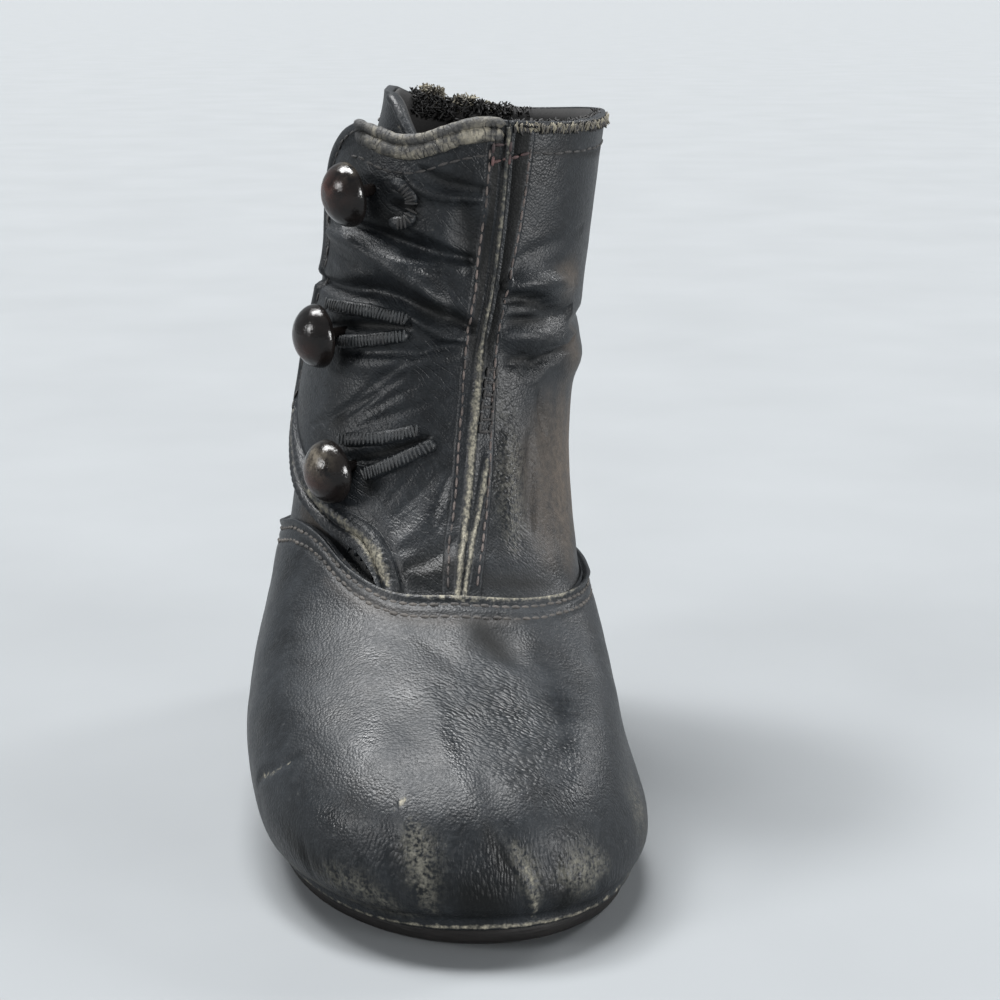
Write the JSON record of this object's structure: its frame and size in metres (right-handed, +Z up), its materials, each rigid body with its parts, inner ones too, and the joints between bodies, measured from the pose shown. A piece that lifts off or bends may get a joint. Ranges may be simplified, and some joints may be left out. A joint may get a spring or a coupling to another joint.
{
  "type": "button boot",
  "caption": "Child's ankle-high black leather button boot for the right foot, with an overlapping button flap, raised front seam, plain round vamp and thin turned sole.",
  "frame": {"origin": "on the floor, under the centre of the boot's box", "axes": "+Z up, the toe points to -Y, the outer side with the buttons is at -X"},
  "size_m": [0.0567, 0.1169, 0.1044],
  "materials": {
    "upper": "glazed, worn",
    "button_flap": "glazed, worn",
    "front_seam": "worn, stitched",
    "outsole": "worn",
    "insole": "matte",
    "button": "glossy"
  },
  "bodies": {
    "root": {"upper": "upper", "button_flap": "button_flap", "front_seam": "front_seam", "outsole": "outsole", "insole": "insole", "button_top": "button", "button_middle": "button", "button_bottom": "button"}
  },
  "joints": []
}
